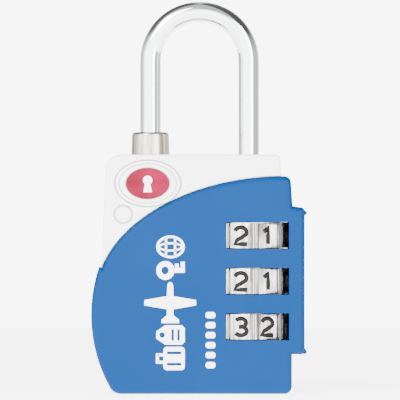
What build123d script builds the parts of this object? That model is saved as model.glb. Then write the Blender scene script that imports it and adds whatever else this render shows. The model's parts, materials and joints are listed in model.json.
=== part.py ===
"""Three-dial travel padlock with a key override, as separate pieces. Millimetres, +Z up.

The origin is under the middle of the lock, on the face it stands on. The front faces -Y.
The shackle's long heel leg is on the right (+X), its short toe leg on the left.
"""
from build123d import *
import math
import os

os.makedirs("parts", exist_ok=True)

# ---- Fits -------------------------------------------------------------------------------
running = 0.05          # radial play of a turning or sliding fit
seat = 0.05             # play round a piece that is housed and doesn't move
free_gap = 0.15         # space kept beside a moving piece
cover_line = 0.12       # gap along the edge where the bare case rises beside a cover
stack_gap = 0.05        # play between pieces that push on each other

# ---- Shackle ----------------------------------------------------------------------------
rod_r = 1.6
toe_x = -7.55
heel_x = 7.85
lift = 6.2
shackle_top = 61.2
tip_chamfer = 0.4

# ---- Dials and code sleeves --------------------------------------------------------------
dial_r = 7.0
dial_flat = 6.72        # from the axis to the flat of a numbered facet
dial_half = 1.95
dial_pitch = 7.07
dial_low_z = 10.45
dial_count = 3
facets = 10
code_turn = 11.3        # the dialled figure stands this far left of the front, degrees
hub_r = 5.2
hub_drop = 0.9
click_depth = 0.4
sleeve_r = 4.2
sleeve_wall = 0.6
disc_t = 1.5
disc_drop = 3.5         # underside of a gate disc, below the middle of its dial
tooth_t = 0.7
tooth_w = 0.8
tooth_out = 0.55
code_shift = 0.9        # travel that frees the sleeves for a new code
reset_r = 0.6
reset_low = 0.6         # foot of the reset pin, sunk into the base
reset_ring = 1.1        # height of the ring that lifts the lowest sleeve

# ---- Locking spindle and heel coupling ---------------------------------------------------
spindle_r = 1.2
fin_r = 3.3
fin_w = 1.0
fin_t = 1.2
fin_drop = 0.6          # from a gate disc down to its fin
head_r = 2.6
head_height = 5.55
head_floor = 1.6
plate_t = 0.7
plate_half = 2.05
plate_shift = 1.0
head_lip = 0.7

# ---- Release button ----------------------------------------------------------------------
button_r = 3.0
button_top_r = 2.87
button_stand = 3.55
button_travel = 1.2
button_bore = rod_r + 0.1
flange_out = 0.75
flange_t = 1.0
button_spring_room = 3.7   # height of the spring under the flange
flange_drop = 3.05      # flange below the top of the body
toe_depth = 2.5         # toe tip below the top of the body
catch_wire = 0.25
catch_drop = 1.6        # catch wire below the top of the body
catch_play = 0.02
groove_depth = 0.45
groove_half = 0.35

# ---- Key cylinder ------------------------------------------------------------------------
key_x = -7.2
plug_r = 3.0
barrel_r = 4.0
barrel_top = 13.2
cam_t = 1.2
cam_low = 2.2
keyway_w = 0.9
keyway_h = 4.2
wafer_count = 5
wafer_t = 0.6
wafer_pitch = 1.8
wafer_first = 3.2

# ---- Body shell --------------------------------------------------------------------------
floor_t = 1.3
roof_t = 1.45
case_half = 5.4
case_raise = 0.6        # how far the bare upper part stands out of the covered part
cover_t = 1.1           # front and rear walls of the covers
cover_side = 1.65
guard_wall = 1.48
guard_margin = 4.3      # from an end dial's middle to the end of the dial guard
side_wall = 1.1
window_half = 2.1
window_left = 3.6       # from the dial axis
window_right = 6.18
curve_height = 19.0     # the cover's upper edge is a quarter of an ellipse
top_band = 3.35         # white above the cover's upper edge, at the right
face_round = 0.9
case_face_round = 0.35
case_round_left = 2.5
case_lean = 0.25        # the case's sides lean in towards its top
case_round_right = 0.6
bulge_out = 1.6         # the cover's left side bows out between its base and its step
step_out = 0.4
bulge_rise = 2.4        # the bow is fullest this far above its middle
cover_width = 27.7     # along the base, without the dial guard
curve_out = 0.7         # axis of the cover's elliptical edge, right of the case
curve_over = 0.9        # the ellipse ends this far left of the case
base_round = 1.2
bow_round = 2.0
cover_lean = 0.5        # lean of the cover's right side above the dial guard
shoulder_round = 1.1
guard_round = 0.6

# ---- Sizes that follow -------------------------------------------------------------------
cover_half = case_half + cover_t
grip = rod_r - groove_depth + catch_wire + catch_play
dial_z = [dial_low_z + dial_pitch * i for i in range(dial_count)]
top_dial, low_dial = dial_z[-1], dial_z[0]
slot_half = dial_half + 0.1
slot_r = dial_r + free_gap
sleeve_bore = sleeve_r + 2 * running
disc_z = [z - disc_drop for z in dial_z]
fin_z = [z - fin_drop - fin_t for z in disc_z]
sleeve_top = top_dial + 1.9
reset_y = sleeve_r - 0.4
ring_low = disc_z[0] - stack_gap - reset_ring
spring_room = 1.45
chamber_z = sleeve_top + spring_room
plate_z = chamber_z + 0.1
head_top = plate_z + plate_t + stack_gap + head_lip
head_z = head_top - head_height
heel_z = head_z + head_floor
roof_z = head_top + lift + stack_gap
body_top = roof_z + roof_t
chamber_r = head_r + 1.3
case_left = toe_x - 7.55
case_right = heel_x + chamber_r + side_wall
cover_right = case_right + cover_side
guard_right = heel_x + slot_r + guard_wall
guard_z = (low_dial - guard_margin, top_dial + guard_margin)
step_z = top_dial - 4.95
curve_top = body_top - top_band
arch_x = (toe_x + heel_x) / 2
arch_r = (heel_x - toe_x) / 2
arch_z = shackle_top - rod_r - arch_r
tip_z = body_top - toe_depth
catch_z = body_top - catch_drop
flange_top = body_top - flange_drop
button_room = flange_top - flange_t - button_spring_room
cam_high = cam_low + plate_shift
cam_z = barrel_top + stack_gap
arm_z = (plate_z + 0.05, plate_z + plate_t - 0.05)
arm_tip = heel_x - 3.3 - stack_gap
web_x = (key_x + plug_r + 0.8, key_x + plug_r + 2.0)


def at(x, z, y=0.0):
    """A level plane with its origin on a vertical axis."""
    return Plane(origin=(x, y, z))


def save(piece, name):
    """Name a finished piece and write it to its own file."""
    piece.part.label = name
    export_step(piece.part, f"parts/{name}.step")


def coil(radius, wire, low, high, turns, axis_x, level=False):
    """A helical spring between two seats, along Z or, when level, along X."""
    length = high - low - 2 * wire
    if level:
        centre, way = (low + wire, 0, axis_x), (1, 0, 0)
    else:
        centre, way = (axis_x, 0, low + wire), (0, 0, 1)
    with BuildPart() as spring:
        with BuildLine() as path:
            Helix(length / turns, length, radius, center=centre, direction=way)
        with BuildSketch(Plane(path.line @ 0, z_dir=path.line % 0)):
            Circle(wire)
        sweep()
    return spring


# ---- Outlines, drawn flat: x to the right and y up ---------------------------------------
bulge_low = (cover_right - cover_width, 0)
bulge_high = (case_left - step_out, step_z)
bulge_mid = (case_left - bulge_out, step_z / 2 + bulge_rise)
curve_x = case_right + curve_out


def below_curve(grow):
    """The region under the cover's upper edge, grown by a gap."""
    with BuildSketch() as region:
        with Locations((curve_x, curve_top - curve_height)):
            Ellipse(curve_x - case_left + curve_over + grow, curve_height + grow)
        with Locations((0, (step_z + grow) / 2)):
            Rectangle(6 * arch_r, step_z + grow)
    return region.sketch


cover_reach = below_curve(0)
cover_clear = below_curve(cover_line)

with BuildSketch() as cover_outline:
    with BuildLine():
        edge = ThreePointArc(bulge_low, bulge_mid, bulge_high)
        Polyline(
            edge @ 1,
            (bulge_high[0], curve_top + 5),
            (cover_right - cover_lean, curve_top + 5),
            (cover_right + 0.1, guard_z[1] + 0.3),
            (guard_right, guard_z[1]),
            (guard_right, guard_z[0]),
            (cover_right, guard_z[0]),
            (cover_right, 0),
            edge @ 0,
        )
    make_face()
    add(cover_reach, mode=Mode.INTERSECT)
    fillet(cover_outline.vertices().group_by(Axis.Y)[0].sort_by(Axis.X)[0], bow_round)
    fillet(cover_outline.vertices().group_by(Axis.Y)[0].sort_by(Axis.X)[-1], base_round)
    above_guard = cover_outline.vertices().filter_by(lambda v: v.Y > guard_z[1] + 1)
    fillet(above_guard.sort_by(Axis.X)[-1], shoulder_round)
    fillet(cover_outline.vertices().group_by(Axis.X)[-1], guard_round)

with BuildSketch() as case_outline:
    with BuildLine():
        Polyline(
            (case_left + 1.2, floor_t + 5.0),
            (case_left + 1.2, step_z + stack_gap),
            (case_left, step_z + stack_gap),
            (case_left + 3 * case_lean, body_top),
            (case_right - case_lean, body_top),
            (case_right, curve_top),
            (case_right, floor_t),
            (case_left + 2.4, floor_t),
            close=True,
        )
    make_face()
    top_corners = case_outline.vertices().group_by(Axis.Y)[-1].sort_by(Axis.X)
    fillet(top_corners[0], case_round_left)
    fillet(case_outline.vertices().group_by(Axis.Y)[-1].sort_by(Axis.X)[-1], case_round_right)

# ---- Everything hollow inside the case ---------------------------------------------------
with BuildPart() as hollows:
    for z in dial_z:
        with BuildSketch(at(heel_x, z - slot_half)):
            Circle(slot_r)
        extrude(amount=2 * slot_half)
        with BuildSketch(at(heel_x, z - dial_half - hub_drop - 0.1)):
            Circle(hub_r + free_gap)
        extrude(amount=hub_drop + 0.1)
    with BuildSketch(at(heel_x, disc_z[0] - 1.25)):
        Circle(sleeve_bore)
    extrude(amount=chamber_z - disc_z[0] + 1.25)
    with BuildSketch(at(heel_x, fin_z[0] - 0.5)):
        Circle(fin_r + 0.2)
    extrude(amount=2)
    with BuildSketch(at(heel_x, floor_t + 0.9)):
        Circle(1.4)
    extrude(amount=fin_z[0] - floor_t)
    with BuildSketch(at(heel_x, chamber_z)):
        Circle(chamber_r)
    extrude(amount=roof_z - chamber_z)
    with BuildSketch(at(heel_x, roof_z)):
        Circle(rod_r + running)
    extrude(amount=roof_t)
    with BuildSketch(at(heel_x, 0, reset_y)):
        Circle(reset_r + 0.1)
    extrude(amount=ring_low + code_shift + 0.1)

    with BuildSketch(at(toe_x, flange_top - 0.05)):
        Circle(button_r + running)
    extrude(amount=body_top - flange_top + 0.05)
    with BuildSketch(at(toe_x, button_room)):
        Circle(button_r + flange_out + 0.1)
    extrude(amount=flange_top + 0.05 - button_room)
    with BuildSketch(at(toe_x, catch_z - groove_half)):
        with Locations((0.5, 0)):
            Rectangle(7.4, 4.2)
    extrude(amount=0.7)

    with BuildSketch(at(key_x, 0)):
        Circle(barrel_r + seat)
    extrude(amount=barrel_top)
    with BuildSketch(at(key_x, barrel_top)):
        Circle(cam_high + 0.2)
    extrude(amount=cam_t + 1.4)

    with BuildSketch(Plane.XZ.offset(-0.6)):
        with BuildLine():
            Polyline(
                (key_x + cam_low, barrel_top),
                (web_x[1] + plate_shift + 0.1, barrel_top),
                (web_x[1] + plate_shift + 0.1, arm_z[0] - 0.1),
                (heel_x - chamber_r + 1, arm_z[0] - 0.1),
                (heel_x - chamber_r + 1, arm_z[1] + 0.1),
                (web_x[0] - 0.1, arm_z[1] + 0.1),
                (web_x[0] - 0.1, barrel_top + cam_t + 0.1),
                (key_x + cam_low, barrel_top + cam_t + 0.1),
                close=True,
            )
        make_face()
    extrude(amount=1.2)
    with BuildSketch(Plane.YZ.offset(web_x[1])):
        with Locations((0, top_dial)):
            Circle(0.95)
    extrude(amount=2.1)

    with BuildSketch(at(heel_x - slot_r - 0.65, low_dial - 5)):
        Rectangle(0.5, 3.4, align=(Align.MIN, Align.CENTER))
    extrude(amount=dial_pitch * 2 + 8)
    for z in dial_z:
        with BuildSketch(at(heel_x - slot_r - 0.65, z - dial_half - hub_drop + 0.05)):
            Rectangle(2.8, 3.4, align=(Align.MIN, Align.CENTER))
        extrude(amount=hub_drop - 0.1)

side_boss = web_x[1] + 1.4
fixings = [
    (case_left + 2.7, 11.0),
    (side_boss, low_dial - 2.95),
    (side_boss, 22.0),
    (case_right - 1.45, chamber_z + 3.0),
]
pin_spots = [
    (case_left + 2.8, 27.0),
    (case_left + 2.6, 17.5),
    (arch_x, body_top - 3.75),
    (side_boss - 0.1, 3.6),
]
pin_r = 0.8
pin_half = 4.0
screw_r = 0.8
screw_depth = 2.6
badge_at = (toe_x - 0.35, body_top - 4.5)
badge_size = (5.2, 3.65)
inlay_size = (3.45, 2.45)
mark_at = (case_left + 3.4, body_top - 9.3)

with BuildPart() as case_shell:
    with BuildSketch(Plane.XZ):
        add(case_outline.sketch)
    extrude(amount=case_half + case_raise)
    fillet(case_shell.faces().sort_by(Axis.Y)[0].edges(), case_face_round)
    with BuildSketch(Plane.XZ.offset(case_half)):
        add(cover_clear)
    extrude(amount=2 * case_raise, mode=Mode.SUBTRACT)
    with BuildSketch(Plane.XZ):
        with Locations(*pin_spots):
            Circle(pin_r)
    extrude(amount=pin_half, mode=Mode.SUBTRACT)

with BuildPart() as rear_case:
    add(mirror(case_shell.part, about=Plane.XZ, mode=Mode.PRIVATE))
    add(hollows.part, mode=Mode.SUBTRACT)
    with BuildSketch(Plane.XZ.offset(-case_half)):
        with Locations(*fixings):
            Circle(screw_r)
    extrude(amount=screw_depth, mode=Mode.SUBTRACT)
save(rear_case, "rear_case")

with BuildPart() as front_case:
    add(case_shell.part)
    add(hollows.part, mode=Mode.SUBTRACT)
    with BuildSketch(Plane.XZ.offset(case_half)):
        with Locations(*fixings):
            Circle(screw_r)
    extrude(amount=-screw_depth, mode=Mode.SUBTRACT)
    with BuildSketch(Plane.XZ.offset(case_half + case_raise)):
        with Locations(badge_at):
            Ellipse(badge_size[0] + seat, badge_size[1] + seat)
    extrude(amount=-0.3, mode=Mode.SUBTRACT)
save(front_case, "front_case")

with BuildPart() as case_pins:
    with BuildSketch(Plane.XZ.offset(-pin_half + 0.1)):
        with Locations(*pin_spots):
            Circle(pin_r)
    extrude(amount=2 * pin_half - 0.2)
save(case_pins, "case_pins")

# ---- Badge and raised ring on the bare face ----------------------------------------------
badge_face = case_half + case_raise
with BuildPart() as badge_plate:
    with BuildSketch(Plane.XZ.offset(badge_face - 0.3)):
        with Locations(badge_at):
            Ellipse(*badge_size)
        add(cover_clear, mode=Mode.SUBTRACT)
    extrude(amount=0.5)
    with BuildSketch(Plane.XZ.offset(badge_face + 0.2)):
        with Locations(badge_at):
            Ellipse(*inlay_size)
    extrude(amount=-0.15, mode=Mode.SUBTRACT)
save(badge_plate, "badge_plate")

with BuildPart() as badge_enamel:
    with BuildSketch(Plane.XZ.offset(badge_face + 0.05)):
        with Locations(badge_at):
            Ellipse(*inlay_size)
        add(cover_clear, mode=Mode.SUBTRACT)
    extrude(amount=0.2)
save(badge_enamel, "badge_enamel")

with BuildPart() as raised_ring:
    with BuildSketch(Plane.XZ.offset(badge_face)):
        with Locations(mark_at):
            Circle(1.5)
            Circle(1.25, mode=Mode.SUBTRACT)
    extrude(amount=0.1)
save(raised_ring, "raised_ring")

# ---- Covers ------------------------------------------------------------------------------
with BuildPart() as cover_shell:
    with BuildSketch(Plane.XZ):
        add(cover_outline.sketch)
    extrude(amount=cover_half)
    fillet(cover_shell.faces().sort_by(Axis.Y)[0].edges(), face_round)
    with BuildSketch(Plane.XZ):
        offset(case_outline.sketch, amount=seat, kind=Kind.INTERSECTION)
    extrude(amount=case_half + 0.03, mode=Mode.SUBTRACT)
    for z in dial_z:
        with BuildSketch(at(heel_x, z - window_half)):
            Circle(slot_r)
        extrude(amount=2 * window_half, mode=Mode.SUBTRACT)
        with BuildSketch(at(heel_x, z - dial_half - hub_drop - 0.1)):
            Circle(hub_r + free_gap)
        extrude(amount=hub_drop, mode=Mode.SUBTRACT)
        with BuildSketch(Plane.XZ):
            with Locations((heel_x - window_left, z - window_half)):
                Rectangle(window_left + window_right, 2 * window_half, align=Align.MIN)
        extrude(amount=cover_half, mode=Mode.SUBTRACT)
    with BuildSketch(at(key_x, 0)):
        Circle(plug_r + free_gap)
    extrude(amount=floor_t + 1, mode=Mode.SUBTRACT)
    with BuildSketch(at(key_x, 0)):
        Circle(plug_r + 0.7)
    extrude(amount=0.15, mode=Mode.SUBTRACT)

with BuildPart() as front_cover:
    add(cover_shell.part)
    with BuildSketch(Plane.XZ.offset(case_half + 0.03)):
        with Locations(*fixings):
            Circle(screw_r - 0.02)
    extrude(amount=0.2 - screw_depth)
save(front_cover, "front_cover")

screw_head = 1.45
with BuildPart() as rear_cover:
    add(mirror(cover_shell.part, about=Plane.XZ, mode=Mode.PRIVATE))
    with BuildSketch(Plane.XZ.offset(-case_half)):
        with Locations(*fixings):
            Circle(screw_r + 0.05)
    extrude(amount=-2, mode=Mode.SUBTRACT)
    with BuildSketch(Plane.XZ.offset(-case_half - 0.45)):
        with Locations(*fixings):
            Circle(screw_head + 0.1)
    extrude(amount=-2, mode=Mode.SUBTRACT)
    with BuildSketch(at(heel_x, 0, reset_y)):
        Circle(reset_r + 0.15)
    extrude(amount=floor_t + 1, mode=Mode.SUBTRACT)
save(rear_cover, "rear_cover")

with BuildPart() as cover_screws:
    with BuildSketch(Plane.XZ.offset(-case_half + screw_depth - 0.2)):
        with Locations(*fixings):
            Circle(screw_r)
    extrude(amount=0.2 - screw_depth - 0.45)
    with BuildSketch(Plane.XZ.offset(-case_half - 0.45)):
        with Locations(*fixings):
            Circle(screw_head)
    extrude(amount=-0.5)
    with BuildSketch(Plane.XZ.offset(-case_half - 0.95)):
        with Locations(*fixings):
            Rectangle(1.7, 0.32)
            Rectangle(0.32, 1.7)
    extrude(amount=0.3, mode=Mode.SUBTRACT)
save(cover_screws, "cover_screws")

# ---- Shackle group -----------------------------------------------------------------------
hole_back = plate_shift
with BuildPart() as shackle:
    with BuildLine() as bend:
        Line((toe_x, 0, tip_z), (toe_x, 0, arch_z))
        ThreePointArc((toe_x, 0, arch_z), (arch_x, 0, arch_z + arch_r), (heel_x, 0, arch_z))
        Line((heel_x, 0, arch_z), (heel_x, 0, heel_z))
    with BuildSketch(at(toe_x, tip_z)):
        Circle(rod_r)
    sweep(path=bend.line)
    chamfer(shackle.faces().filter_by(Axis.Z).edges(), tip_chamfer)
    with BuildSketch(at(toe_x, catch_z - groove_half)):
        Circle(rod_r + 0.1)
        Circle(rod_r - groove_depth, mode=Mode.SUBTRACT)
    extrude(amount=2 * groove_half, mode=Mode.SUBTRACT)
    with BuildSketch(at(heel_x, plate_z - 0.1)):
        Circle(rod_r + 0.1)
        with Locations((-hole_back, 0)):
            Circle(rod_r - 0.05, mode=Mode.SUBTRACT)
    extrude(amount=plate_t + 0.2, mode=Mode.SUBTRACT)
save(shackle, "shackle")

with BuildPart() as locking_spindle:
    with BuildSketch(at(heel_x, fin_z[0] - 0.15)):
        Circle(spindle_r)
    extrude(amount=head_z - fin_z[0] + 0.15)
    for z in fin_z:
        with BuildSketch(at(heel_x, z)):
            Rectangle(fin_w, fin_r, align=(Align.CENTER, Align.MAX))
        extrude(amount=fin_t)
    with BuildSketch(at(heel_x, head_z)):
        Circle(head_r)
    extrude(amount=head_height)
    with BuildSketch(at(heel_x, heel_z)):
        Circle(rod_r + running)
    extrude(amount=head_height, mode=Mode.SUBTRACT)
    with BuildSketch(at(heel_x, plate_z - 0.05)):
        Rectangle(3 * head_r, 2 * plate_half + 0.1)
    extrude(amount=plate_t + 0.1, mode=Mode.SUBTRACT)
save(locking_spindle, "locking_spindle")

with BuildPart() as coupler_plate:
    with BuildSketch(at(heel_x, plate_z)) as blank:
        with Locations((-0.45, 0)):
            RectangleRounded(5.7, 2 * plate_half, 1.0)
        with Locations((-hole_back, 0)):
            Circle(rod_r + running, mode=Mode.SUBTRACT)
    extrude(amount=plate_t)
save(coupler_plate, "coupler_plate")

shackle_spring = coil(0.9, 0.17, floor_t + 0.9, fin_z[0] - 0.15, 4.5, heel_x)
save(shackle_spring, "shackle_spring")

# ---- Dials, sleeves, click spring, code reset --------------------------------------------
dial_names = ["bottom", "middle", "top"]
for name, z, floor in zip(dial_names, dial_z, disc_z):
    with BuildPart() as dial:
        with BuildSketch(at(heel_x, z - dial_half)):
            Circle(dial_r)
            turned = -90 - code_turn
            RegularPolygon(dial_flat, facets, major_radius=False, rotation=turned + 18, mode=Mode.INTERSECT)
        extrude(amount=2 * dial_half)
        chamfer(dial.faces().filter_by(Axis.Z).edges(), 0.15)
        with BuildSketch(at(heel_x, z - dial_half - hub_drop)):
            Circle(hub_r)
            with PolarLocations(hub_r, facets, start_angle=180):
                RegularPolygon(click_depth, 4, mode=Mode.SUBTRACT)
        extrude(amount=hub_drop)
        with BuildSketch(at(heel_x, z - dial_half - hub_drop)):
            Circle(sleeve_r + running)
            with PolarLocations(sleeve_r + tooth_out / 2, facets, start_angle=90):
                Rectangle(2 * tooth_out, tooth_w + 0.1)
        extrude(amount=2 * dial_half + hub_drop, mode=Mode.SUBTRACT)
        with BuildSketch(at(heel_x, z - 0.1)):
            Circle(sleeve_r + tooth_out + 0.2)
        extrude(amount=dial_half + 0.1, mode=Mode.SUBTRACT)
    save(dial, f"dial_{name}")

    with BuildPart() as sleeve:
        with BuildSketch(at(heel_x, floor)):
            Circle(sleeve_r)
        top = sleeve_top if name == "top" else floor + dial_pitch - 0.005
        extrude(amount=top - floor)
        with BuildSketch(at(heel_x, floor + disc_t)):
            Circle(sleeve_r - sleeve_wall)
        extrude(amount=dial_pitch, mode=Mode.SUBTRACT)
        with BuildSketch(at(heel_x, floor)):
            Circle(spindle_r + running)
            Rectangle(fin_w + 0.3, fin_r + 0.15, align=(Align.CENTER, Align.MAX))
        extrude(amount=disc_t, mode=Mode.SUBTRACT)
        with BuildSketch(at(heel_x, z - 0.2 - tooth_t)):
            with Locations((0, sleeve_r + tooth_out / 2 - 0.1)):
                Rectangle(tooth_w, tooth_out + 0.2)
        extrude(amount=tooth_t)
    save(sleeve, f"code_sleeve_{name}")

reset_spring = coil(sleeve_r - sleeve_wall / 2, 0.12, sleeve_top, chamber_z, 3, heel_x)
save(reset_spring, "reset_spring")

with BuildPart() as reset_pin:
    with BuildSketch(at(heel_x, ring_low)):
        Circle(sleeve_r - 0.1)
        Circle(fin_r + 0.2, mode=Mode.SUBTRACT)
    extrude(amount=disc_z[0] - stack_gap - ring_low)
    with BuildSketch(at(heel_x, reset_low, reset_y)):
        Circle(reset_r)
    extrude(amount=ring_low - reset_low)
save(reset_pin, "reset_pin")

strip_x = heel_x - slot_r - 0.55
with BuildPart() as click_spring:
    with BuildSketch(at(strip_x, low_dial - 4.8)):
        Rectangle(0.3, 3.0, align=(Align.MIN, Align.CENTER))
    extrude(amount=dial_pitch * 2 + 7.6)
    for z in dial_z:
        with BuildSketch(at(strip_x, z - dial_half - hub_drop + 0.2)):
            Rectangle(heel_x - hub_r - strip_x + 0.1, 0.35, align=(Align.MIN, Align.CENTER))
        extrude(amount=hub_drop - 0.4)
save(click_spring, "click_spring")

# ---- Release button and toe catch --------------------------------------------------------
flange_z = flange_top - flange_t
with BuildPart() as release_button:
    with BuildSketch(at(toe_x, flange_z)):
        Circle(button_r + flange_out)
    extrude(amount=flange_t)
    with BuildSketch(at(toe_x, flange_top)):
        Circle(button_r)
    extrude(amount=body_top - flange_top)
    with BuildSketch(at(toe_x, body_top)):
        Circle(button_r)
    with BuildSketch(at(toe_x, body_top + button_stand)):
        Circle(button_top_r)
    loft()
    fillet(release_button.faces().sort_by(Axis.Z)[-1].edges(), 0.5)
    with BuildSketch(at(toe_x, flange_z)):
        Circle(button_bore)
    extrude(amount=button_stand + body_top - flange_z, mode=Mode.SUBTRACT)
    for side in (-1, 1):
        with BuildSketch(Plane.YZ.offset(toe_x - button_r)):
            with BuildLine():
                Polyline(
                    (side * (grip - 0.42), catch_z - groove_half),
                    (side * (grip + 0.38), catch_z - groove_half),
                    (side * (grip + 0.38), catch_z + button_travel + 0.32),
                    (side * (grip + 0.03), catch_z + button_travel + 0.32),
                    (side * (grip - 0.42), catch_z + 0.4),
                    close=True,
                )
            make_face()
        extrude(amount=2 * button_r, mode=Mode.SUBTRACT)
save(release_button, "release_button")

with BuildPart() as toe_catch:
    with BuildLine() as hairpin:
        Line((toe_x - 2.6, -grip, catch_z), (toe_x + 2.4, -grip, catch_z))
        ThreePointArc(
            (toe_x + 2.4, -grip, catch_z),
            (toe_x + 2.4 + grip, 0, catch_z),
            (toe_x + 2.4, grip, catch_z),
        )
        Line((toe_x + 2.4, grip, catch_z), (toe_x - 2.6, grip, catch_z))
    with BuildSketch(Plane(origin=(toe_x - 2.6, -grip, catch_z), z_dir=(1, 0, 0))):
        Circle(catch_wire)
    sweep(path=hairpin.line)
save(toe_catch, "toe_catch")

button_spring = coil(button_r + 0.25, 0.2, button_room, flange_z, 4, toe_x)
save(button_spring, "button_spring")

# ---- Key cylinder and override -----------------------------------------------------------
plug_low = 0.25
wafer_z = [wafer_first + wafer_pitch * i for i in range(wafer_count)]
with BuildPart() as key_barrel:
    with BuildSketch(at(key_x, floor_t)):
        Circle(barrel_r)
        Circle(plug_r + running, mode=Mode.SUBTRACT)
    extrude(amount=barrel_top - floor_t)
save(key_barrel, "key_barrel")

with BuildPart() as key_plug:
    with BuildSketch(at(key_x, plug_low)):
        Circle(plug_r)
    extrude(amount=barrel_top - plug_low)
    chamfer(key_plug.faces().sort_by(Axis.Z)[0].edges(), 0.2)
    with BuildSketch(at(key_x, plug_low)):
        Rectangle(keyway_w, keyway_h)
    extrude(amount=wafer_z[-1] + 1 - plug_low, mode=Mode.SUBTRACT)
    for z in wafer_z:
        with BuildSketch(at(key_x, z)):
            Rectangle(3.3, 5.0)
        extrude(amount=wafer_t + 0.05, mode=Mode.SUBTRACT)
    with BuildSketch(at(key_x, barrel_top)):
        Circle(0.5)
    extrude(amount=-1.4, mode=Mode.SUBTRACT)
save(key_plug, "key_plug")

with BuildPart() as key_wafers:
    for z in wafer_z:
        with BuildSketch(at(key_x, z + 0.02)):
            Rectangle(3.2, 4.9)
            Rectangle(1.3, 2.9, mode=Mode.SUBTRACT)
        extrude(amount=wafer_t)
save(key_wafers, "key_wafers")

cam_steps = 6
cam_points = []
for i in range(cam_steps + 1):
    share = i / cam_steps
    angle = math.radians(15 - 120 * share)
    rise = plate_shift * (120 * share - 15) / 90
    reach = cam_low + rise
    cam_points.append((reach * math.cos(angle), reach * math.sin(angle)))
with BuildPart() as key_cam:
    with BuildSketch(at(key_x, cam_z)):
        with BuildLine():
            spiral = Spline(*cam_points)
            ThreePointArc(spiral @ 1, (-1.9, 0.4), spiral @ 0)
        make_face()
        Circle(0.5, mode=Mode.SUBTRACT)
    extrude(amount=cam_t - 2 * stack_gap)
save(key_cam, "key_cam")

cam_top = cam_z + cam_t - 2 * stack_gap
with BuildPart() as cam_screw:
    with BuildSketch(at(key_x, barrel_top - 1.3)):
        Circle(0.5)
    extrude(amount=cam_top - barrel_top + 1.3)
    with BuildSketch(at(key_x, cam_top)):
        Circle(1.3)
    extrude(amount=0.8)
    with BuildSketch(at(key_x, cam_top + 0.8)):
        Rectangle(3, 0.4)
    extrude(amount=-0.4, mode=Mode.SUBTRACT)
save(cam_screw, "cam_screw")

nose_x = key_x + cam_low + free_gap + 0.05
with BuildPart() as override_bar:
    with BuildSketch(Plane.XZ.offset(-0.5)):
        with BuildLine():
            Polyline(
                (nose_x, cam_z + 0.15),
                (web_x[1], cam_z + 0.15),
                (web_x[1], arm_z[0]),
                (arm_tip, arm_z[0]),
                (arm_tip, arm_z[1]),
                (web_x[0], arm_z[1]),
                (web_x[0], cam_z + cam_t - 0.15),
                (nose_x, cam_z + cam_t - 0.15),
                close=True,
            )
        make_face()
    extrude(amount=1.0)
    nose_edges = override_bar.edges().filter_by(Axis.Z).sort_by(Axis.X)[:2]
    fillet(nose_edges, 0.4)
save(override_bar, "override_bar")

override_spring = coil(0.65, 0.12, web_x[1], web_x[1] + 2.1, 3, top_dial, level=True)
save(override_spring, "override_spring")
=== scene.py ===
"""A three-dial travel padlock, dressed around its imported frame."""
import json
import math

import bpy
from mathutils import Matrix, Vector


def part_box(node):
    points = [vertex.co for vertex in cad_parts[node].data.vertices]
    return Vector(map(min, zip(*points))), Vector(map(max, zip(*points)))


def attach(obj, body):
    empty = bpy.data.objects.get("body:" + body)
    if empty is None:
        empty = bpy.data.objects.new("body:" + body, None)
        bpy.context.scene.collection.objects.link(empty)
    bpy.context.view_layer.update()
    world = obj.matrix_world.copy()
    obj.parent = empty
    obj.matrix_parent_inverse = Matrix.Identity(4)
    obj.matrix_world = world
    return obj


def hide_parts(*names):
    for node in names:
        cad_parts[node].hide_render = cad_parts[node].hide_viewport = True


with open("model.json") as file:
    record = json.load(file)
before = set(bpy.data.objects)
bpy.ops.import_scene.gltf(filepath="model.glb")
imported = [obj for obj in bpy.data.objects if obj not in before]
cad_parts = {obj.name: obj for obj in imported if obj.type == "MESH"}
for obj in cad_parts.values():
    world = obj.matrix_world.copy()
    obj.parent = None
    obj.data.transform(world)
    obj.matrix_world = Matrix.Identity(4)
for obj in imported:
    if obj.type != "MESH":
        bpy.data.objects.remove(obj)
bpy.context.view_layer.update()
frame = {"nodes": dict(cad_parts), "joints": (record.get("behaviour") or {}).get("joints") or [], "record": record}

MM = 0.001
shown = frame["nodes"]
joints = {joint["name"]: joint for joint in frame["joints"]}


def span(node):
    """Lowest and highest corner of a frame node."""
    low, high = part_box(node)
    return Vector(low), Vector(high)


dial_axis = {name: Vector(joints[f"dial_{name}_turn"]["pos_m"]) for name in ("top", "middle", "bottom")}
heel = dial_axis["middle"].x
cover_low, cover_high = span("front_cover")
collar_low, collar_high = span("release_button")
badge_low, badge_high = span("badge_plate")
toe = (collar_low.x + collar_high.x) / 2
cover_face = cover_low.y
badge_face = badge_low.y
enamel_face = span("badge_enamel")[0].y


# ---- Modelling helpers -------------------------------------------------------------------
SHARP = math.radians(40)
FACE_ON = (math.pi / 2, 0, 0)       # turns a flat primitive to face the front
ROUND_SIDES = 96


def deselect():
    if bpy.context.object and bpy.context.object.mode != "OBJECT":
        bpy.ops.object.mode_set(mode="OBJECT")
    bpy.ops.object.select_all(action="DESELECT")


def pick(piece):
    """Make one object the selected and active one."""
    deselect()
    piece.select_set(True)
    bpy.context.view_layer.objects.active = piece


def newest(name):
    """Name the object that was made last."""
    piece = bpy.context.object
    piece.name = name
    piece.data.name = name
    return piece


def settle(piece):
    """Put the piece's place into its mesh, with its object at the origin."""
    pick(piece)
    bpy.ops.object.transform_apply(location=True, rotation=True, scale=True)


def add_modifier(piece, kind, **settings):
    pick(piece)
    modifier = piece.modifiers.new(kind.title(), kind)
    for key, value in settings.items():
        setattr(modifier, key, value)
    bpy.ops.object.modifier_apply(modifier=modifier.name)


def ease(piece, width, segments=2):
    """Round off a piece's sharp edges."""
    add_modifier(piece, "BEVEL", width=width, segments=segments, limit_method="ANGLE", angle_limit=SHARP)


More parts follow.
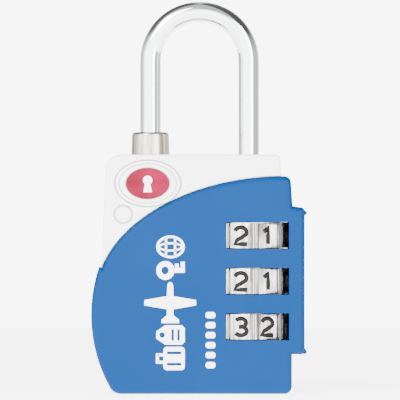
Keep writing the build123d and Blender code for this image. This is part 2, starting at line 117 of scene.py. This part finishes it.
def combine(piece, tool, operation):
    """Add a tool to a piece or cut it away, and use the tool up."""
    add_modifier(piece, "BOOLEAN", operation=operation, object=tool, solver="EXACT")
    bpy.data.objects.remove(tool)


def smooth(piece, degrees):
    pick(piece)
    bpy.ops.object.shade_smooth_by_angle(angle=math.radians(degrees))


def squash(piece, factors, centre):
    """Scale the whole mesh of a piece about a point."""
    pick(piece)
    bpy.ops.object.mode_set(mode="EDIT")
    bpy.ops.mesh.select_all(action="SELECT")
    bpy.ops.transform.resize(value=factors, center_override=centre)
    bpy.ops.object.mode_set(mode="OBJECT")


def select_points(piece, chosen):
    """Select only the chosen vertices of the active piece, and go into edit mode."""
    bpy.ops.object.mode_set(mode="EDIT")
    bpy.ops.mesh.select_all(action="DESELECT")
    bpy.ops.object.mode_set(mode="OBJECT")
    for i in chosen:
        piece.data.vertices[i].select = True
    bpy.ops.object.mode_set(mode="EDIT")


def link(name, data):
    """Put new object data into the scene under a name."""
    piece = bpy.data.objects.new(name, data)
    bpy.context.scene.collection.objects.link(piece)
    return piece


def to_mesh(piece):
    """Turn a curve into a mesh."""
    pick(piece)
    bpy.ops.object.convert(target="MESH")
    return bpy.context.object


def join(pieces, name):
    """Make several pieces one, under a new name."""
    deselect()
    for piece in pieces:
        piece.select_set(True)
    bpy.context.view_layer.objects.active = pieces[0]
    bpy.ops.object.join()
    return newest(name)


def solid_round(name, centre, radius, low_z, high_z):
    """An upright solid cylinder between two heights."""
    deselect()
    spot = (centre.x, centre.y, (low_z + high_z) / 2)
    bpy.ops.mesh.primitive_cylinder_add(
        vertices=ROUND_SIDES, radius=radius, depth=high_z - low_z, location=spot
    )
    piece = newest(name)
    settle(piece)
    return piece


def pin_to_front(name, radius, depth, spot):
    """A solid cylinder that points at the front."""
    deselect()
    bpy.ops.mesh.primitive_cylinder_add(
        vertices=ROUND_SIDES // 2, radius=radius, depth=depth, location=spot, rotation=FACE_ON
    )
    piece = newest(name)
    settle(piece)
    return piece


def arc(x, y, rx, ry, start=0, end=360, steps=12):
    """Points along an arc of an ellipse, angles in degrees."""
    turns = [math.radians(start + (end - start) * i / steps) for i in range(steps + 1)]
    return [(x + rx * math.cos(a), y + ry * math.sin(a)) for a in turns]


def oval(x, y, rx, ry, steps):
    """A closed ellipse, without a repeated last point."""
    return arc(x, y, rx, ry, steps=steps)[:-1]


def box(x, y, w, h, r):
    """Outline of a box with round corners, counter-clockwise from its lower right corner."""
    left, right, low, high = x + r, x + w - r, y + r, y + h - r
    corners = ((right, low, -90), (right, high, 0), (left, high, 90), (left, low, 180))
    return [p for cx, cy, a in corners for p in arc(cx, cy, r, r, a, a + 90, 6)]


# ---- Materials ---------------------------------------------------------------------------
# Limits of the dial chamber, whose inside is painted near-black as painted shade in the dial slots.
CHAMBER_LEFT = -0.5 * MM
CHAMBER_TOP = 27.5 * MM
MIX_COLOR_A, MIX_COLOR_B = 6, 7     # the colour inputs of a Mix node
MIX_COLOR_OUT = 2


class Finish:
    """A node material under construction, read on Object coordinates. Scales are per metre."""

    def __init__(self, name, color, metallic=0.0, roughness=0.5):
        self.material = bpy.data.materials.new(name)
        self.material.use_nodes = True
        self.nodes = self.material.node_tree.nodes
        self.links = self.material.node_tree.links
        self.shader = self.nodes["Principled BSDF"]
        self.shader.inputs["Base Color"].default_value = (*color, 1)
        self.shader.inputs["Metallic"].default_value = metallic
        self.shader.inputs["Roughness"].default_value = roughness
        self.place = self.nodes.new("ShaderNodeTexCoord").outputs["Object"]
        self.last_bump = None

    def mapped(self, scale=(1, 1, 1), offset=(0, 0, 0)):
        node = self.nodes.new("ShaderNodeMapping")
        node.inputs["Scale"].default_value = scale
        node.inputs["Location"].default_value = offset
        self.links.new(self.place, node.inputs["Vector"])
        return node.outputs["Vector"]

    def noise(self, scale, detail=3, rough=0.5, vector=None):
        node = self.nodes.new("ShaderNodeTexNoise")
        node.inputs["Scale"].default_value = scale
        node.inputs["Detail"].default_value = detail
        node.inputs["Roughness"].default_value = rough
        self.links.new(vector or self.place, node.inputs["Vector"])
        return node.outputs["Fac"]

    def ramp(self, value, stops):
        """A colour ramp. Each stop is a spot and a colour, or a spot and a grey."""
        node = self.nodes.new("ShaderNodeValToRGB")
        elements = node.color_ramp.elements
        while len(elements) < len(stops):
            elements.new(0.5)
        for element, (spot, color) in zip(elements, stops):
            element.position = spot
            element.color = (*color, 1) if isinstance(color, tuple) else (color,) * 3 + (1,)
        self.links.new(value, node.inputs["Fac"])
        return node.outputs["Color"]

    def color(self, value, stops):
        self.links.new(self.ramp(value, stops), self.shader.inputs["Base Color"])

    def above(self, axis, limit):
        """1 where the place is past the limit along an axis, else 0."""
        split = self.nodes.new("ShaderNodeSeparateXYZ")
        self.links.new(self.place, split.inputs["Vector"])
        past = self.nodes.new("ShaderNodeMath")
        past.operation = "GREATER_THAN"
        past.inputs[1].default_value = limit
        self.links.new(split.outputs[axis], past.inputs[0])
        return past.outputs[0]

    def shade_chamber(self, paint, chamber_shade):
        """Paint everything but the dial chamber, which lies right of and below two limits and gets a near-black
        painted shade instead.
        """
        low = self.nodes.new("ShaderNodeMath")
        low.operation = "SUBTRACT"
        low.inputs[0].default_value = 1
        self.links.new(self.above("Z", CHAMBER_TOP), low.inputs[1])
        both = self.nodes.new("ShaderNodeMath")
        both.operation = "MULTIPLY"
        self.links.new(self.above("X", CHAMBER_LEFT), both.inputs[0])
        self.links.new(low.outputs[0], both.inputs[1])
        mix = self.nodes.new("ShaderNodeMix")
        mix.data_type = "RGBA"
        self.links.new(both.outputs[0], mix.inputs["Factor"])
        self.links.new(paint, mix.inputs[MIX_COLOR_A])
        mix.inputs[MIX_COLOR_B].default_value = (*chamber_shade, 1)
        self.links.new(mix.outputs[MIX_COLOR_OUT], self.shader.inputs["Base Color"])

    def rough(self, value, low, high):
        self.links.new(self.ramp(value, [(0.3, low), (0.7, high)]), self.shader.inputs["Roughness"])

    def bump(self, value, strength, distance):
        """A relief, laid over the one before it."""
        node = self.nodes.new("ShaderNodeBump")
        node.inputs["Strength"].default_value = strength
        node.inputs["Distance"].default_value = distance
        self.links.new(value, node.inputs["Height"])
        if self.last_bump:
            self.links.new(self.last_bump, node.inputs["Normal"])
        self.last_bump = node.outputs["Normal"]
        self.links.new(self.last_bump, self.shader.inputs["Normal"])

    def set(self, **values):
        for key, value in values.items():
            self.shader.inputs[key.replace("_", " ")].default_value = value


def blue_plastic():
    f = Finish("blue_satin_plastic", (0.0003, 0.0255, 0.105), roughness=0.55)
    f.color(f.noise(90, 2), [(0.3, (0.0002, 0.0245, 0.101)), (0.7, (0.0004, 0.0265, 0.109))])
    f.rough(f.noise(2600, 4), 0.36, 0.5)
    f.bump(f.noise(9000, 2), 0.18, 0.02 * MM)
    f.bump(f.noise(160, 2), 0.12, 0.06 * MM)
    f.set(Specular_IOR_Level=0.06)
    return f.material


def white_paint():
    f = Finish("satin_white_paint", (0.88, 0.88, 0.87), roughness=0.36)
    paint = f.ramp(f.noise(120, 3), [(0.35, (0.86, 0.86, 0.85)), (0.65, (0.9, 0.9, 0.895))])
    # The dial chamber is painted near-black: painted shade in the slots behind the dials.
    f.shade_chamber(paint, (0.02, 0.02, 0.022))
    f.rough(f.noise(1500, 4), 0.28, 0.42)
    f.bump(f.noise(1300, 2), 0.15, 0.03 * MM)
    f.set(Coat_Weight=0.3, Coat_Roughness=0.15)
    return f.material


def chrome_rod():
    f = Finish("polished_chrome", (0.8, 0.815, 0.835), 1.0, 0.07)
    drawn = f.noise(900, 4, 0.6, f.mapped((1, 1, 0.04)))
    f.rough(drawn, 0.04, 0.13)
    f.bump(drawn, 0.06, 0.01 * MM)
    f.bump(f.noise(250, 2), 0.08, 0.03 * MM)
    return f.material


def turned_nickel():
    f = Finish("turned_nickel", (0.8, 0.77, 0.72), 1.0, 0.25)
    streaks = f.noise(1400, 5, 0.7, f.mapped((1, 1, 0.03), (-toe, 0, 0)))
    f.color(streaks, [(0.3, (0.2, 0.18, 0.145)), (0.5, (0.5, 0.46, 0.39)), (0.72, (0.8, 0.765, 0.7))])
    f.rough(streaks, 0.18, 0.36)
    f.bump(streaks, 0.3, 0.02 * MM)
    return f.material


def dial_chrome():
    f = Finish("satin_dial_chrome", (0.8, 0.8, 0.79), 0.88, 0.22)
    streaks = f.noise(1900, 5, 0.7, f.mapped((1, 1, 0.05), (-heel, 0, 0)))
    f.color(streaks, [(0.3, (0.1, 0.095, 0.09)), (0.5, (0.42, 0.41, 0.39)), (0.68, (0.9, 0.9, 0.88))])
    f.rough(streaks, 0.14, 0.34)
    f.bump(streaks, 0.35, 0.02 * MM)
    return f.material


def numeral_paint():
    f = Finish("numeral_black", (0.003, 0.003, 0.003), roughness=0.45)
    f.color(f.noise(1500, 3), [(0.35, (0.0025, 0.0024, 0.0023)), (0.7, (0.006, 0.0056, 0.0053))])
    f.bump(f.noise(6000, 3), 0.25, 0.02 * MM)
    f.set(Specular_IOR_Level=0.12)
    return f.material


def white_ink():
    f = Finish("white_print", (0.9, 0.9, 0.9), roughness=0.5)
    f.color(f.noise(2500, 3), [(0.3, (0.86, 0.87, 0.88)), (0.6, (0.93, 0.93, 0.93))])
    f.bump(f.noise(7000, 2), 0.2, 0.01 * MM)
    return f.material


def red_enamel():
    f = Finish("red_enamel", (0.16, 0.0006, 0.02), roughness=0.22)
    f.color(f.noise(260, 2), [(0.35, (0.12, 0.0005, 0.012)), (0.65, (0.2, 0.001, 0.026))])
    f.bump(f.noise(700, 2), 0.1, 0.03 * MM)
    f.set(Specular_IOR_Level=0.1)
    return f.material


def metal(name, color, low, high, scale=900, grain=(1, 1, 0.1)):
    """A drawn or machined metal, with streaks along its grain."""
    f = Finish(name, color, 1.0, low)
    streaks = f.noise(scale, 4, 0.6, f.mapped(grain))
    dark = tuple(c * 0.7 for c in color)
    f.color(streaks, [(0.3, dark), (0.7, color)])
    f.rough(streaks, low, high)
    f.bump(streaks, 0.2, 0.01 * MM)
    return f.material


finishes = {
    "blue_cover": blue_plastic(),
    "white_shell": white_paint(),
    "shackle_chrome": chrome_rod(),
    "nickel": turned_nickel(),
    "dial_metal": dial_chrome(),
    "red_enamel": red_enamel(),
    "badge_rim": metal("bright_rim", (0.36, 0.36, 0.36), 0.15, 0.3),
    "steel": metal("zinc_steel", (0.66, 0.67, 0.68), 0.25, 0.45),
    "spring_steel": metal("spring_steel", (0.5, 0.5, 0.51), 0.25, 0.4),
    "brass": metal("machined_brass", (0.78, 0.58, 0.26), 0.22, 0.4, 700, (0.1, 0.1, 1)),
    "plug_metal": metal("plug_brass", (0.76, 0.68, 0.5), 0.2, 0.38),
    "white_print": white_ink(),
    "figure_paint": numeral_paint(),
}


def dress(piece, material):
    piece.data.materials.clear()
    piece.data.materials.append(material)


def place(piece, body, slot, replaced=()):
    """Finish a piece: its finish, its body and the frame nodes it stands for."""
    dress(piece, finishes[slot])
    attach(piece, body)
    if replaced:
        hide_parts(*replaced)


def dress_frame():
    for row in frame["record"]["subparts"]:
        dress(shown[row["node"]], finishes[row["material_slot"]])
    dress(shown["badge_plate"], finishes["white_shell"])
    dress(shown["raised_ring"], finishes["badge_rim"])


# ---- Dials -------------------------------------------------------------------------------
FACETS = 10
FACET_STEP = 360 / FACETS
CODE_TURN = 11.3                    # degrees the dialled facet stands to the left of the front
DIAL_R = 7.0 * MM
FLAT_R = 6.72 * MM                  # from the axis to the flat under a figure
RIM_WIDTH = 3.9 * MM
RIM_POINTS = 360
DIAL_EDGE = 0.07 * MM

# Stretches of the rim, in degrees from the middle of a facet, and what share of its radius each is left.
FLAT_HALF = 11.5
PAD = (11.5, 12.6, FLAT_R / math.cos(math.radians(12)) / DIAL_R * 0.995)
GROOVE = (13.5, 15.5, 0.93)
NOTCH = (17.5, 18.5, 0.975)

HUB_R = 5.05 * MM
HUB_SUNK = 0.3 * MM                 # how far the hub reaches into the wheel
SLEEVE_BORE = 4.25 * MM
TOOTH_ROOM = 4.95 * MM
TOOTH_DROP = 1.0 * MM               # floor of the teeth's room, under the dial's middle
CUT_BELOW = 4 * MM                  # reach of the cutting tools below and above the foot of the rim
CUT_ABOVE = 8 * MM

WASHER_R = 6.3 * MM
WASHER_HOLE = 4.6 * MM
WASHER_LOW = 0.005 * MM
WASHER_HIGH = 0.085 * MM


def rim_angle(vertex, centre):
    """Where a rim vertex stands, in degrees from the middle of the nearest numbered facet."""
    turn = math.degrees(math.atan2(vertex.co.x - centre.x, -(vertex.co.y - centre.y)))
    return (turn + CODE_TURN + FACET_STEP / 2) % FACET_STEP - FACET_STEP / 2


def rim_outline(name, centre, z):
    """The flat outline of a dial: ten flats, each between two grooves, with a notch at each corner."""
    deselect()
    spot = (centre.x, centre.y, z)
    turned = (0, 0, math.radians(-90 - CODE_TURN))
    bpy.ops.mesh.primitive_circle_add(
        vertices=RIM_POINTS, radius=DIAL_R, fill_type="NGON", location=spot, rotation=turned
    )
    dial = newest(f"dial_{name}_wheel")
    settle(dial)
    angles = [abs(rim_angle(vertex, centre)) for vertex in dial.data.vertices]
    for start, end, share in (GROOVE, NOTCH, PAD):
        select_points(dial, [i for i, angle in enumerate(angles) if start < angle < end])
        bpy.ops.transform.resize(value=(share, share, 1), center_override=spot)
    select_points(dial, [i for i, angle in enumerate(angles) if angle < FLAT_HALF])
    bpy.ops.mesh.dissolve_verts()
    return dial


def raise_rim(dial):
    """Pull the outline up into a solid wheel."""
    bpy.ops.mesh.select_all(action="SELECT")
    bpy.ops.mesh.extrude_region_move(TRANSFORM_OT_translate={"value": (0, 0, RIM_WIDTH)})
    bpy.ops.mesh.select_all(action="SELECT")
    bpy.ops.mesh.normals_make_consistent(inside=False)
    bpy.ops.object.mode_set(mode="OBJECT")


def add_hub(dial, centre, low_z, rim_z):
    """The narrow hub under a dial, where the click spring rides."""
    combine(dial, solid_round("dial_hub", centre, HUB_R, low_z, rim_z + HUB_SUNK), "UNION")


def cut_bore(dial, centre, rim_z):
    """The sleeve's bore through a dial, with a wider recess where the sleeve's teeth turn."""
    top = rim_z + CUT_ABOVE
    combine(dial, solid_round("bore_tool", centre, SLEEVE_BORE, rim_z - CUT_BELOW, top), "DIFFERENCE")
    combine(dial, solid_round("recess_tool", centre, TOOTH_ROOM, centre.z - TOOTH_DROP, top), "DIFFERENCE")


def make_dial(name):
    centre = dial_axis[name]
    low, high = span(f"dial_{name}")
    rim_z = high.z - RIM_WIDTH
    dial = rim_outline(name, centre, rim_z)
    raise_rim(dial)
    add_hub(dial, centre, low.z, rim_z)
    cut_bore(dial, centre, rim_z)
    ease(dial, DIAL_EDGE)
    smooth(dial, 30)
    place(dial, f"dial_{name}_group", "dial_metal", [f"dial_{name}"])


def make_top_washer():
    """A thin washer between the upper dial and the roof of its slot."""
    centre = dial_axis["top"]
    face = span("dial_top")[1].z
    washer = solid_round("dial_washer", centre, WASHER_R, face + WASHER_LOW, face + WASHER_HIGH)
    combine(washer, solid_round("washer_tool", centre, WASHER_HOLE, face - MM, face + MM), "DIFFERENCE")
    smooth(washer, 30)
    place(washer, "dial_top_group", "steel")


# ---- Figures on the dials ----------------------------------------------------------------
FIGURE_W = 1.98 * MM
FIGURE_H = 2.62 * MM
STROKE_R = 0.36 * MM
STROKE_SINK = 0.12 * MM             # how far a stroke's middle lies under the flat
CODE = {"top": 2, "middle": 2, "bottom": 3}

# Strokes of the figures, in a box 1 wide and 1 high.
FIGURES = {
    0: [arc(0.5, 0.62, 0.5, 0.38, 0, 180, 10) + arc(0.5, 0.38, 0.5, 0.38, 180, 360, 10) + [(1, 0.62)]],
    1: [[(0.22, 0.74), (0.4, 0.84), (0.58, 1.0), (0.58, 0.5), (0.58, 0)]],
    2: [arc(0.5, 0.7, 0.46, 0.3, 165, -25, 12) + [(0.62, 0.42), (0.2, 0.24), (0.02, 0), (0.5, 0), (1, 0)]],
    3: [
        arc(0.5, 0.75, 0.42, 0.25, 150, -90, 12) + [(0.36, 0.5)],
        [(0.5, 0.5)] + arc(0.5, 0.26, 0.47, 0.26, 80, -150, 12),
    ],
    4: [
        [(0.95, 0.28), (0.5, 0.28), (0.02, 0.28), (0.3, 0.65), (0.62, 1.0)],
        [(0.7, 0.62), (0.7, 0.3), (0.7, 0.0)],
    ],
    5: [[(0.9, 1.0), (0.5, 1.0), (0.14, 1.0), (0.1, 0.55)] + arc(0.48, 0.31, 0.46, 0.31, 115, -150, 12)],
    6: [[(0.82, 1.0), (0.5, 0.86), (0.2, 0.62), (0.04, 0.3)] + arc(0.5, 0.3, 0.46, 0.3, 180, 530, 20)],
    7: [[(0.02, 1.0), (0.5, 1.0), (0.98, 1.0), (0.66, 0.5), (0.4, 0.0)]],
    8: [arc(0.5, 0.76, 0.38, 0.24, -90, 262, 20), arc(0.5, 0.26, 0.46, 0.26, 90, 442, 20)],
    9: [[(0.18, 0.0), (0.5, 0.14), (0.8, 0.38), (0.96, 0.7)] + arc(0.5, 0.7, 0.46, 0.3, 0, 350, 20)],
}


def figure_wire(name):
    """An empty curve that draws each of its lines as a round stroke."""
    curve = bpy.data.curves.new(name, "CURVE")
    curve.dimensions = "3D"
    curve.bevel_depth = STROKE_R
    curve.bevel_resolution = 3
    curve.fill_mode = "FULL"
    curve.use_fill_caps = True
    return curve


def draw_figure(curve, figure, centre, turn):
    """Lay one figure's strokes on the facet at a turn round the dial."""
    out = Vector((math.sin(turn), -math.cos(turn), 0))
    side = Vector((math.cos(turn), math.sin(turn), 0))
    for stroke in FIGURES[figure]:
        spline = curve.splines.new("POLY")
        spline.points.add(len(stroke) - 1)
        for point, (u, v) in zip(spline.points, stroke):
            spot = centre + out * (FLAT_R - STROKE_SINK) + side * (u - 0.5) * FIGURE_W
            spot.z += (v - 0.5) * FIGURE_H
            point.co = (*spot, 1)


def make_figures(name, dialled):
    """The ten figures of one dial, raised a little from their facets."""
    label = f"dial_{name}_figures"
    curve = figure_wire(label)
    for k in range(FACETS):
        turn = math.radians(-CODE_TURN + FACET_STEP * k)
        draw_figure(curve, (dialled - k) % FACETS, dial_axis[name], turn)
    figures = to_mesh(link(label, curve))
    smooth(figures, 50)
    place(figures, f"dial_{name}_group", "figure_paint")


# ---- Beads at the ends of the dial guard -------------------------------------------------
BEAD_R = 0.38 * MM
BEAD_LENGTH = 11.6 * MM
BEAD_INSET = 0.05 * MM
BEAD_END = 0.2 * MM
GUARD_ENDS = (("low", 6.55 * MM), ("high", 28.1 * MM))


def make_guard_beads():
    reach = cover_high.x - BEAD_INSET
    ends = [pin_to_front(f"guard_bead_{name}", BEAD_R, BEAD_LENGTH, (reach, 0, z)) for name, z in GUARD_ENDS]
    beads = join(ends, "guard_beads")
    ease(beads, BEAD_END, 4)
    smooth(beads, 40)
    place(beads, "lock_body", "blue_cover")


# ---- Badge -------------------------------------------------------------------------------
BADGE_RX = 5.2 * MM
badge_x = badge_low.x + BADGE_RX
badge_z = (badge_low.z + badge_high.z) / 2

# The raised lines of the badge: name, half width, half height and half thickness, in mm.
BADGE_LINES = (("outer", 5.1, 3.58, 0.09), ("inner", 4.45, 3.05, 0.08), ("seat", 3.45, 2.45, 0.1))

KEYHOLE_R = 0.72 * MM
KEYHOLE_RISE = 0.5 * MM
KEYHOLE_DEPTH = 0.3 * MM
SLOT_WIDE = 0.95 * MM
SLOT_NARROW = 0.45 * MM
SLOT_HEIGHT = 1.8 * MM
SLOT_DROP = 0.45 * MM
SLOT_FLAT = 0.22                    # share of its depth that the slot's cone keeps
KEYHOLE_EDGE = 0.05 * MM


def oval_rim(name, rx, rz, wire):
    """A thin raised line round the badge."""
    deselect()
    spot = (badge_x, badge_face, badge_z)
    bpy.ops.mesh.primitive_torus_add(
        major_segments=160, minor_segments=10, major_radius=rx, minor_radius=wire,
        location=spot, rotation=FACE_ON,
    )
    rim = newest(name)
    settle(rim)
    squash(rim, (1, 1, rz / rx), spot)
    smooth(rim, 60)
    return rim


def make_badge_lines():
    rims = [oval_rim(f"badge_rim_{name}", rx * MM, rz * MM, wire * MM) for name, rx, rz, wire in BADGE_LINES]
    place(join(rims, "badge_lines"), "lock_body", "badge_rim")


def keyhole_slot():
    """The wider foot of the keyhole, from a flattened four-sided cone."""
    deselect()
    spot = (badge_x, enamel_face, badge_z - SLOT_DROP)
    bpy.ops.mesh.primitive_cone_add(
        vertices=4, radius1=SLOT_WIDE, radius2=SLOT_NARROW, depth=SLOT_HEIGHT, location=spot,
        rotation=(0, 0, math.pi / 4),
    )
    slot = newest("keyhole_slot")
    settle(slot)
    squash(slot, (1, SLOT_FLAT, 1), (badge_x, enamel_face, badge_z))
    return slot


def make_keyhole():
    spot = (badge_x, enamel_face, badge_z + KEYHOLE_RISE)
    hole = pin_to_front("keyhole_round", KEYHOLE_R, KEYHOLE_DEPTH, spot)
    keyhole = join([hole, keyhole_slot()], "badge_keyhole")
    ease(keyhole, KEYHOLE_EDGE)
    smooth(keyhole, 40)
    place(keyhole, "lock_body", "white_shell")


# ---- White print on the front cover ------------------------------------------------------
# Each mark is a list of separate shapes. A shape is an outline and its holes, drawn in mm, with x running up
# the lock and y towards its left.
PRINT_X = -2.15 * MM
PRINT_Z = 3.75 * MM
PRINT_THICK = 0.03 * MM
PRINT_PROUD = 0.45                  # share of the thickness by which a mark's middle stands out
DASHES = 6
DASH_STEP = 1.55
DASH_START = 0.3
DASH_ACROSS = 4.75


def suitcase_mark():
    body = [box(0, 0, 3.6, 3.3, 0.55), box(0.7, 0.5, 0.45, 2.3, 0.2), box(2.45, 0.5, 0.45, 2.3, 0.2)]
    left = [box(1.0, 3.3, 0.45, 0.85, 0.02)]
    right = [box(2.15, 3.3, 0.45, 0.85, 0.02)]
    handle = [box(1.0, 4.0, 1.6, 0.45, 0.15)]
    return [body, left, right, handle]


def tag_mark():
    outline = [(0.45, 0), (2.55, 0), (3.0, 0.45), (3.0, 3.0), (2.05, 4.4), (0.95, 4.4), (0, 3.0), (0, 0.45)]
    lines = [box(0.6, 0.75, 1.8, 0.42, 0.15), box(0.6, 1.65, 1.8, 0.42, 0.15)]
    return [[outline, oval(1.5, 3.5, 0.45, 0.45, 20)] + lines]


def plane_mark():
    tail = [(0.0, 5.35), (0.5, 5.35), (1.2, 4.5)]
    wing = [(2.15, 4.5), (2.75, 8.0), (3.55, 8.0), (4.15, 4.5)]
    upper = tail + wing + [(5.6, 4.45)]
    nose = arc(5.6, 4.0, 0.75, 0.45, 80, -80, 8)
    lower = [(x, 8.0 - y) for x, y in reversed(upper)]
    return [[upper + nose + lower]]


def key_mark():
    bow = [oval(1.5, 3.0, 1.45, 1.4, 36), oval(1.5, 3.05, 0.62, 0.58, 24)]
    bit = [(1.9, 0.6), (1.9, 0.95), (2.55, 0.95), (2.55, 1.5), (1.9, 1.5), (1.9, 1.75)]
    shank = [(1.15, 0), (2.85, 0), (2.85, 0.6)] + bit + [(1.15, 1.75)]
    return [bow, [shank]]


def globe_mark():
    rim = [oval(1.75, 2.2, 1.75, 2.2, 48), oval(1.75, 2.2, 1.4, 1.82, 48)]
    meridian = [oval(1.75, 2.2, 0.72, 1.86, 36), oval(1.75, 2.2, 0.42, 1.6, 36)]
    bars = [[box(0.3, h, 2.9, 0.3, 0.05)] for h in (1.35, 2.75)]
    return [rim, meridian] + bars


def print_shape(name, loops, along, across):
    """A flat ink shape on the cover, at its distances up and to the right of the print's start, in mm."""
    curve = bpy.data.curves.new(name, "CURVE")
    curve.dimensions = "2D"
    curve.fill_mode = "BOTH"
    curve.extrude = PRINT_THICK / 2
    for loop in loops:
        spline = curve.splines.new("POLY")
        spline.points.add(len(loop) - 1)
        spline.use_cyclic_u = True
        for point, (u, v) in zip(spline.points, loop):
            point.co = (u * MM, v * MM, 0, 1)
    shape = to_mesh(link(name, curve))
    up, left, out = Vector((0, 0, 1)), Vector((-1, 0, 0)), Vector((0, -1, 0))
    turn = Matrix((up, left, out)).transposed().to_4x4()
    spot = Vector((PRINT_X + across * MM, cover_face - PRINT_THICK * PRINT_PROUD, PRINT_Z + along * MM))
    shape.matrix_world = Matrix.Translation(spot) @ turn
    settle(shape)
    return shape


def make_print():
    shapes = []
    marks = (
        ("suitcase", suitcase_mark(), 0.0, 0.0),
        ("tag", tag_mark(), 3.95, 0.0),
        ("plane", plane_mark(), 7.3, 1.75),
        ("key", key_mark(), 13.95, 0.0),
        ("globe", globe_mark(), 17.35, 0.0),
    )
    for name, pieces, along, across in marks:
        for i, loops in enumerate(pieces):
            shapes.append(print_shape(f"print_{name}_{i}", loops, along, across))
    dash = [box(0, 0, 0.95, 1.5, 0.4)]
    for i in range(DASHES):
        shapes.append(print_shape(f"print_dash_{i}", dash, DASH_START + i * DASH_STEP, DASH_ACROSS))
    place(join(shapes, "front_print"), "lock_body", "white_print")


# ---- Stage, light and camera -------------------------------------------------------------
# Brightness of the studio wall, by degrees from the lock's front, positive to its right.
WALL_TURN = [
    (-180, 1.0), (-174, 1.0), (-168, 0.15), (-100, 0.16), (-90, 0.28), (-76, 0.4), (-62, 1.0),
    (35, 1.0), (48, 0.16), (62, 0.08), (72, 0.16), (98, 0.1), (116, 0.16), (135, 0.22), (168, 0.25),
    (174, 1.0), (180, 1.0),
]
WALL_LIGHT = 8.0
OVERHEAD_SHARE = 0.12
OVERHEAD_START = 0.2                # height of a direction where the dimming starts, and where it ends
OVERHEAD_END = 0.55
FLOOR_SIZE = 0.6
FLOOR_GLOW = 4.5
VIEW_HEIGHT = 62.0 * MM
VIEW_DISTANCE = 0.6
VIEW_X = 0.22 * MM
VIEW_Z = 30.12 * MM
SENSOR = 36
CLIP_START = 10 * MM
LIGHT_AIM = Vector((0, 0, 0.03))


def make_floor():
    deselect()
    bpy.ops.mesh.primitive_plane_add(size=FLOOR_SIZE, location=(0, 0, 0))
    floor = newest("floor")
    f = Finish("pale_floor", (0.9, 0.9, 0.9), roughness=0.6)
    f.color(f.noise(3, 2), [(0.3, (0.89, 0.89, 0.89)), (0.7, (0.92, 0.92, 0.92))])
    f.set(Emission_Color=(1, 1, 1, 1), Emission_Strength=FLOOR_GLOW)
    dress(floor, f.material)


def softbox(name, spot, size, power):
    light = bpy.data.lights.new(name, "AREA")
    light.shape = "RECTANGLE"
    light.size, light.size_y = size
    light.energy = power
    lamp = link(name, light)
    lamp.location = spot
    lamp.rotation_euler = (LIGHT_AIM - Vector(spot)).to_track_quat("-Z", "Y").to_euler()


def wall_color(nodes, links, split):
    """The wall's brightness, from the turn of a direction round the lock."""
    front = nodes.new("ShaderNodeMath")
    front.operation = "MULTIPLY"
    front.inputs[1].default_value = -1
    turn = nodes.new("ShaderNodeMath")
    turn.operation = "ARCTAN2"
    share = nodes.new("ShaderNodeMath")
    share.operation = "MULTIPLY_ADD"
    share.inputs[1].default_value = 0.5 / math.pi
    share.inputs[2].default_value = 0.5
    ramp = nodes.new("ShaderNodeValToRGB")
    elements = ramp.color_ramp.elements
    while len(elements) < len(WALL_TURN):
        elements.new(0.5)
    for element, (degrees, value) in zip(elements, WALL_TURN):
        element.position = degrees / 360 + 0.5
        element.color = (value, value, value, 1)
    links.new(split.outputs["Y"], front.inputs[0])
    links.new(split.outputs["X"], turn.inputs[0])
    links.new(front.outputs[0], turn.inputs[1])
    links.new(turn.outputs[0], share.inputs[0])
    links.new(share.outputs[0], ramp.inputs["Fac"])
    return ramp.outputs["Color"]


def wall_strength(nodes, links, split):
    """The wall's light, dimmed towards the ceiling."""
    overhead = nodes.new("ShaderNodeMapRange")
    overhead.inputs["From Min"].default_value = OVERHEAD_START
    overhead.inputs["From Max"].default_value = OVERHEAD_END
    overhead.inputs["To Min"].default_value = WALL_LIGHT
    overhead.inputs["To Max"].default_value = WALL_LIGHT * OVERHEAD_SHARE
    links.new(split.outputs["Z"], overhead.inputs["Value"])
    return overhead.outputs["Result"]


def make_world():
    world = bpy.data.worlds.new("studio")
    bpy.context.scene.world = world
    world.use_nodes = True
    nodes, links = world.node_tree.nodes, world.node_tree.links
    coord = nodes.new("ShaderNodeTexCoord")
    split = nodes.new("ShaderNodeSeparateXYZ")
    links.new(coord.outputs["Generated"], split.inputs["Vector"])
    links.new(wall_strength(nodes, links, split), nodes["Background"].inputs["Strength"])
    links.new(wall_color(nodes, links, split), nodes["Background"].inputs["Color"])


def make_camera():
    camera = bpy.data.cameras.new("camera")
    camera.sensor_width = SENSOR
    camera.lens = SENSOR * (VIEW_DISTANCE + cover_face) / VIEW_HEIGHT
    camera.clip_start = CLIP_START
    eye = link("camera", camera)
    eye.location = (VIEW_X, -VIEW_DISTANCE, VIEW_Z)
    eye.rotation_euler = FACE_ON
    bpy.context.scene.camera = eye


# ---- The padlock -------------------------------------------------------------------------
dress_frame()
for dial, figure in CODE.items():
    make_dial(dial)
    make_figures(dial, figure)
make_top_washer()
make_guard_beads()
make_badge_lines()
make_keyhole()
make_print()

make_floor()
make_world()
softbox("key_light", (-0.3, -0.5, 0.45), (0.4, 0.4), 9)
softbox("fill_light", (0.4, -0.5, 0.2), (0.3, 0.5), 4)
make_camera()
